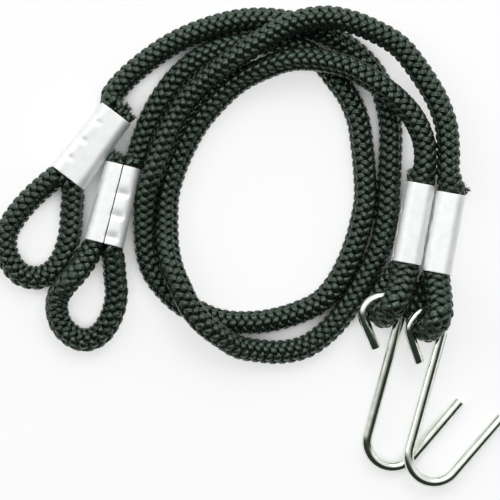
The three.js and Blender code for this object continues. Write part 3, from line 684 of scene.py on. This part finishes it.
for name, line in LINES.items():
    strands, strand_weave = woven_strands(line)
    hairs, hair_weave = loose_ends(line)
    vertices = np.vstack([strands.reshape(-1, 3), hairs.reshape(-1, 3)])
    faces = np.vstack([ring_faces(*strands.shape[:3]),
                       ring_faces(*hairs.shape[:3]) + strands.size // 3])
    mesh = bpy.data.meshes.new(name + "_braid")
    mesh.from_pydata(vertices.tolist(), [], faces.tolist())
    values = mesh.attributes.new("weave", "FLOAT_VECTOR", "POINT")
    values.data.foreach_set("vector", np.vstack([strand_weave.reshape(-1, 3), hair_weave.reshape(-1, 3)]).ravel())
    add_piece(name + "_braid", mesh, [braid], "cords")
    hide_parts(name + "_sheath")
    print(name, "braid:", len(mesh.polygons) * 2, "triangles")

# %% [markdown]
# ## The rubber inside
#
# The core is a bundle of rubber threads, packed six round one and twelve round those. It only shows at the cut ends
# and, dark, between the strands. Along the cord it is one tube, made as a curve with a round bevel, because a
# curve carries a radius at each of its points and so gets thin in the ferrules. At each end the threads themselves
# stand out of the tube by not quite a millimetre.

# %% Rubber material
DUST_SIZE = 0.6 * MM

rubber, tree = new_material("dusted_natural_rubber")
place = node(tree, "ShaderNodeTexCoord")
dust = node(tree, "ShaderNodeTexNoise", Vector=place.outputs["Object"], Scale=1 / DUST_SIZE, Detail=3.0)
shade = node(tree, "ShaderNodeValToRGB", Fac=dust.outputs["Fac"])
for stop, position, dye in zip(shade.color_ramp.elements, (0.3, 0.8), ("#0e0d0c", "#262421")):
    stop.position, stop.color = position, colour(dye)
bump = node(tree, "ShaderNodeBump", Height=dust.outputs["Fac"], Distance=0.03 * MM, Strength=0.5)
threads = node(tree, "ShaderNodeBsdfPrincipled", Base_Color=shade.outputs["Color"], Roughness=0.8, IOR=1.52,
               Normal=bump.outputs[0])
finish_material(rubber, threads)

# %% Threads
THREAD_R = 0.5 * MM
THREAD_LONG = 1.2  # a thread's end is a ball, drawn out a little
THREAD_DEPTH = 0.55 * MM  # of the ball's middle behind the cut
THREAD_RINGS = ((6, 2.05 * THREAD_R), (12, 4.0 * THREAD_R))
THREAD_SQUEEZE = 0.78  # a tail is still pressed, and so is its bundle


def thread_spots():
    """Places of the threads in the section: one, six round it and twelve round those."""
    spots = [(0, 0)]
    for count, radius in THREAD_RINGS:
        spots += [(radius * cos(2 * pi * k / count), radius * sin(2 * pi * k / count)) for k in range(count)]
    return spots


print("threads in a core:", len(thread_spots()))

# %% Cores
CORE_R = 2.5 * MM
RECESS = 0.8 * MM  # of the tube behind the cut
CORE_EVERY = 6  # steps of the line


def core_curve(name, line):
    """The tube as a curve, thinner where the cord is pressed."""
    curve = bpy.data.curves.new(name, "CURVE")
    curve.dimensions = "3D"
    curve.bevel_depth = CORE_R
    curve.bevel_resolution = 2
    curve.use_fill_caps = True
    inside = (line["along"] > RECESS) & (line["along"] < line["along"][-1] - RECESS)
    points = line["points"][inside][::CORE_EVERY]
    squeeze = line["squeezes"].min(axis=1)[inside][::CORE_EVERY]
    spline = curve.splines.new("POLY")
    spline.points.add(len(points) - 1)
    spline.points.foreach_set("co", np.column_stack([points, np.ones(len(points))]).ravel())
    spline.points.foreach_set("radius", np.minimum(squeeze, 1))
    spline.use_smooth = True
    return curve


for name, line in LINES.items():
    curve = core_curve(name + "_core_rubber", line)
    maker = bpy.data.objects.new("maker", curve)
    bpy.context.collection.objects.link(maker)
    bpy.context.view_layer.update()
    bm = bmesh.new()
    bm.from_mesh(maker.to_mesh())
    bpy.data.objects.remove(maker)
    for end, forward in ENDS:
        point, tangent = line["points"][end], line["tangents"][end] * forward
        facing = Vector(tangent).to_track_quat("Z", "Y").to_matrix().to_4x4()
        facing = facing @ Matrix.Diagonal((1, 1, THREAD_LONG, 1))
        for x, y in thread_spots():
            offset = line["sides"][end] * x * THREAD_SQUEEZE + line["others"][end] * y
            spot = Matrix.Translation(Vector(point - tangent * THREAD_DEPTH + offset))
            bmesh.ops.create_uvsphere(bm, u_segments=8, v_segments=6, radius=THREAD_R, matrix=spot @ facing)
    mesh = bpy.data.meshes.new(name + "_core_rubber")
    bm.to_mesh(mesh)
    bm.free()
    add_piece(name + "_core_rubber", mesh, [rubber], "cords")
    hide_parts(name + "_core")
    print(name, "core:", len(mesh.polygons), "faces")

# %% [markdown]
# The photograph shows each cord from end to end.

# %% [markdown]
# ## Ferrules
#
# A ferrule starts as a flat strip of aluminium. It is rolled round both legs until its edges meet in a seam, and a
# press closes it and leaves three marks. A box with bevelled edges would miss the seam and the soft pressed
# corners, so the strip is rolled here too: a flat grid is bent round a rounded rectangle, its marks are pushed in,
# and Solidify gives it its thickness.

# %% Rolled strip
SEAM_GAP = 0.25 * MM


def strip_width(width):
    """Length of the section's outline, which is how wide the strip is cut."""
    return 2 * width + 2 * FERRULE_THICK - 8 * CORNER_R + 2 * pi * CORNER_R


def rolled(distance, width):
    """A place on the section's outline, by its distance along the strip from the seam, clockwise."""
    flat_x, flat_z = width / 2 - CORNER_R, FERRULE_THICK / 2 - CORNER_R
    runs = [(flat_x, False)]
    for flat in (2 * flat_z, 2 * flat_x, 2 * flat_z, flat_x):
        runs += [(CORNER_R * pi / 2, True), (flat, False)]
    x, z, heading = 0.0, FERRULE_THICK / 2, 0.0
    for length, bends in runs:
        step = min(distance, length)
        if bends:
            turned = step / CORNER_R
            x += CORNER_R * (sin(heading + turned) - sin(heading))
            z += CORNER_R * (cos(heading + turned) - cos(heading))
            heading += turned
        else:
            x += step * cos(heading)
            z -= step * sin(heading)
        distance -= step
        if distance <= 0:
            break
    return x, z


print("the strip is %.1f mm wide at the fold end" % (strip_width(WIDTH_FOLD_END) / MM))

# %% Press marks
MARKS = (2.5, 10.6, 19.1)  # along the ferrule from its fold end, in mm
MARK_DEPTH = 0.6 * MM
MARK_MIDDLE, MARK_HALF = 2.3 * MM, 2.5 * MM  # across the face, from the seam
MARK_SLOPE, MARK_STEP = 2.1 * MM, 0.6 * MM  # each sinks slowly and ends in a short step
DIP_DEPTH, DIP_WIDTH = 0.22 * MM, 0.8 * MM  # of the edge at the seam
OVAL_DEPTH = 0.28 * MM
OVAL_MIDDLE = (3.6 * MM, 4.1 * MM)  # across from the middle of the back, and along from a mark
OVAL_SIZE = (1.3 * MM, 1.0 * MM)


def press_mark(x, along, front):
    """Depth of the press marks, on the half of the long cord.

    On the face with the seam each one sinks slowly and ends in a short step, and the edge at the seam dips. On the
    back there are only three faint ovals.
    """
    depth = 0.0
    for mark in MARKS:
        away = along - mark * MM
        if front:
            fall = np.exp(-(away / (MARK_SLOPE if away > 0 else MARK_STEP)) ** 2)
            depth = max(depth, MARK_DEPTH * fall * np.exp(-((x - MARK_MIDDLE) / MARK_HALF) ** 4))
        else:
            oval = ((x - OVAL_MIDDLE[0]) / OVAL_SIZE[0]) ** 2 + ((away - OVAL_MIDDLE[1]) / OVAL_SIZE[1]) ** 2
            depth += OVAL_DEPTH * np.exp(-oval)
    if front and x > 0:
        depth += DIP_DEPTH * np.exp(-(x / DIP_WIDTH) ** 2)
    return depth


print("a mark is %.2f mm deep in its middle" % (press_mark(MARK_MIDDLE, MARKS[1] * MM, True) / MM))

# %% One ferrule
ROUND_STEPS = 104
LENGTH_STEPS = 60
FACE_DEPTH = 0.3 * MM  # the marks reach this far round the corners
SAG, SAG_SIZE = 0.025 * MM, 5 * MM  # pressed sheet is never quite flat
RIM_R = 0.22 * MM
RIM_ANGLE = radians(60)


def ferrule_mesh(name, seed):
    """A strip, rolled and marked, with its wall and its rounded rims, in its place."""
    bm = bmesh.new()
    bmesh.ops.create_grid(bm, x_segments=ROUND_STEPS, y_segments=LENGTH_STEPS, size=0.5)
    for vertex in bm.verts:
        u, v = vertex.co.x + 0.5, vertex.co.y + 0.5
        along = v * FERRULE_LENGTH
        width = ferrule_width(along)
        x, z = rolled(SEAM_GAP / 2 + u * (strip_width(width) - SEAM_GAP), width)
        mark = press_mark(x, along, z > 0) if abs(z) > FERRULE_THICK / 2 - FACE_DEPTH else 0
        sag = SAG * abs(noise.noise(Vector((x, along, z)) / SAG_SIZE + Vector((seed, 0, 0))))
        vertex.co = Vector((x, along, z - mark * (1 if z > 0 else -1))) - Vector((x, 0, z)).normalized() * sag
    # a strip that is still open has no inside, so the normals may all come out the wrong way round
    bmesh.ops.recalc_face_normals(bm, faces=bm.faces)
    outward = sum(face.normal.dot(face.calc_center_median() * Vector((1, 0, 1))) for face in bm.faces)
    if outward < 0:
        bmesh.ops.reverse_faces(bm, faces=bm.faces)
    bmesh.ops.solidify(bm, geom=bm.faces[:], thickness=WALL)
    rims = [edge for edge in bm.edges if len(edge.link_faces) == 2 and edge.calc_face_angle() > RIM_ANGLE]
    bmesh.ops.bevel(bm, geom=rims, offset=RIM_R, segments=3, profile=0.5, affect="EDGES", material=-1)
    bmesh.ops.transform(bm, matrix=ferrule_matrix(name), verts=bm.verts)
    mesh = bpy.data.meshes.new(name + "_strip")
    bm.to_mesh(mesh)
    bm.free()
    return mesh


print("faces of a strip before it gets its wall:", ROUND_STEPS * LENGTH_STEPS)

# %% [markdown]
# ## Pressed aluminium
#
# Soft aluminium sheet comes out of the press with a dull, even white: thousands of small rubs scatter its shine.
# It is a metal, so its colour is the colour of its reflection. One noise makes some places a little duller than
# others, and a second one is the grain, drawn coarser than it is so that it shows.

# %% Aluminium material
RUB_SIZE = 3 * MM
GRAIN_SIZE = 0.35 * MM

aluminium, tree = new_material("pressed_sheet_aluminium")
place = node(tree, "ShaderNodeTexCoord")
rubs = node(tree, "ShaderNodeTexNoise", Vector=place.outputs["Object"], Scale=1 / RUB_SIZE, Detail=4.0)
grain = node(tree, "ShaderNodeTexNoise", Vector=place.outputs["Object"], Scale=1 / GRAIN_SIZE, Detail=2.0)
shade = node(tree, "ShaderNodeValToRGB", Fac=rubs.outputs["Fac"])
for stop, position, metal in zip(shade.color_ramp.elements, (0.25, 0.6), ("#eef0ef", "#f7f8f8")):
    stop.position, stop.color = position, colour(metal)
rough = node(tree, "ShaderNodeMapRange", Value=rubs.outputs["Fac"], To_Min=0.62, To_Max=0.7)
bump = node(tree, "ShaderNodeBump", Height=grain.outputs["Fac"], Distance=0.008 * MM, Strength=0.4)
sheet = node(tree, "ShaderNodeBsdfPrincipled", Base_Color=shade.outputs["Color"], Metallic=1.0,
             Roughness=rough.outputs[0], Normal=bump.outputs[0])
finish_material(aluminium, sheet)

# %% Ferrules
FERRULE_SMOOTH = 50  # degrees

for seed, name in enumerate(FERRULES):
    piece = add_piece(name + "_strip", ferrule_mesh(name, seed), [aluminium], "cords", FERRULE_SMOOTH)
    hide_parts(name)
    print(piece.name, len(piece.data.polygons), "faces")

# %% [markdown]
# ## Hooks
#
# A hook is bent from one length of wire, and it can be made in the same order: a circle for the wire's section,
# a straight extrusion for the free end, a spin for the eye, an extrusion for the shank, a spin for the bend and an
# extrusion for the prong. The eye of the second hook is twisted out of the hook's plane a little.

# %% Bent wire
WIRE_SEGMENTS = 28
WIRE_CHAMFER = 0.4 * MM
EYE_SWEEP, EYE_STEPS = radians(218), 48
EYE_END = 10.5 * MM
SHANK_LENGTH = 44.3 * MM
BEND_R = 9.7 * MM
BEND_STEPS = 36
PRONG_LENGTH = 27.4 * MM
PRONG_SPREAD = radians(25.5)
MERGE = 0.001 * MM


def hook_mesh(name):
    """A hook, bent from its section and put in its place."""
    bm = bmesh.new()
    # the section starts where the shank meets the eye and looks along the shank
    start = Matrix.Translation((EYE_R, 0, 0)) @ Matrix.Rotation(pi / 2, 4, "X")
    bmesh.ops.create_circle(bm, cap_ends=False, segments=WIRE_SEGMENTS, radius=WIRE_R, matrix=start)
    section = bm.edges[:]

    def pull(edges, way):
        """Extrudes a ring of edges and gives the new ring."""
        made = bmesh.ops.extrude_edge_only(bm, edges=edges)["geom"]
        bmesh.ops.translate(bm, verts=[v for v in made if isinstance(v, bmesh.types.BMVert)], vec=way)
        return [e for e in made if isinstance(e, bmesh.types.BMEdge)
                and all(v in made for v in e.verts)]

    def turn(edges, centre, angle, steps):
        """Spins a ring of edges and gives the last ring."""
        made = bmesh.ops.spin(bm, geom=edges, cent=centre, axis=(0, 0, 1), angle=angle, steps=steps)["geom_last"]
        return [e for e in made if isinstance(e, bmesh.types.BMEdge)]

    eye_end = turn(section, (0, 0, 0), EYE_SWEEP, EYE_STEPS)
    pull(eye_end, Vector((-sin(EYE_SWEEP), cos(EYE_SWEEP), 0)) * EYE_END)
    shank_end = pull(section, Vector((0, -SHANK_LENGTH, 0)))
    bend_end = turn(shank_end, (EYE_R + BEND_R, -SHANK_LENGTH, 0), pi - PRONG_SPREAD, BEND_STEPS)
    pull(bend_end, Vector((sin(PRONG_SPREAD), cos(PRONG_SPREAD), 0)) * PRONG_LENGTH)
    bmesh.ops.remove_doubles(bm, verts=bm.verts, dist=MERGE)
    open_edges = [e for e in bm.edges if e.is_boundary]
    bmesh.ops.holes_fill(bm, edges=open_edges, sides=0)
    bmesh.ops.bevel(bm, geom=open_edges, offset=WIRE_CHAMFER, segments=3, profile=0.5, affect="EDGES", material=-1)
    bmesh.ops.recalc_face_normals(bm, faces=bm.faces)
    twist = radians(HOOKS[name][3])  # of the eye, out of the hook's plane
    for vertex in bm.verts:
        if vertex.co.y > 0 or vertex.co.x < EYE_R - WIRE_D:
            out = vertex.co.x - EYE_R
            vertex.co.x += out * (cos(twist) - 1)
            vertex.co.z -= out * sin(twist)
    bmesh.ops.transform(bm, matrix=hook_matrix(name), verts=bm.verts)
    mesh = bpy.data.meshes.new(name + "_wire")
    bm.to_mesh(mesh)
    bm.free()
    return mesh


bent = EYE_R * EYE_SWEEP + BEND_R * (pi - PRONG_SPREAD)
print("a hook takes %.0f mm of wire" % ((EYE_END + SHANK_LENGTH + PRONG_LENGTH + bent) / MM))

# %% [markdown]
# ## Bright zinc plate
#
# Zinc-plated wire is brighter than bare steel and has a faint yellow-green tint from its passivation. The plate is
# smooth, so the wire shows the room: a bright back, a dark flank. A bloom of slightly duller patches and very small
# pits keep that from being a perfect mirror.

# %% Zinc material
BLOOM_SIZE = 4 * MM
PIT_SIZE = 0.5 * MM

zinc, tree = new_material("bright_zinc_plated_wire")
place = node(tree, "ShaderNodeTexCoord")
bloom = node(tree, "ShaderNodeTexNoise", Vector=place.outputs["Object"], Scale=1 / BLOOM_SIZE, Detail=3.0)
pits = node(tree, "ShaderNodeTexNoise", Vector=place.outputs["Object"], Scale=1 / PIT_SIZE, Detail=2.0)
shade = node(tree, "ShaderNodeValToRGB", Fac=bloom.outputs["Fac"])
for stop, position, metal in zip(shade.color_ramp.elements, (0.3, 0.7), ("#d3d9ce", "#eef2ea")):
    stop.position, stop.color = position, colour(metal)
rough = node(tree, "ShaderNodeMapRange", Value=bloom.outputs["Fac"], To_Min=0.1, To_Max=0.2)
bump = node(tree, "ShaderNodeBump", Height=pits.outputs["Fac"], Distance=0.01 * MM, Strength=0.35)
plate = node(tree, "ShaderNodeBsdfPrincipled", Base_Color=shade.outputs["Color"], Metallic=1.0,
             Roughness=rough.outputs[0], Normal=bump.outputs[0])
finish_material(zinc, plate)

# %% Hooks
HOOK_SMOOTH = 40  # degrees

for name in HOOKS:
    piece = add_piece(name + "_wire", hook_mesh(name), [zinc], name, HOOK_SMOOTH)
    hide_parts(name)
    low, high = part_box(name)
    print(piece.name, len(piece.data.polygons), "faces, CAD box", [round(v / MM, 1) for v in (*low, *high)])
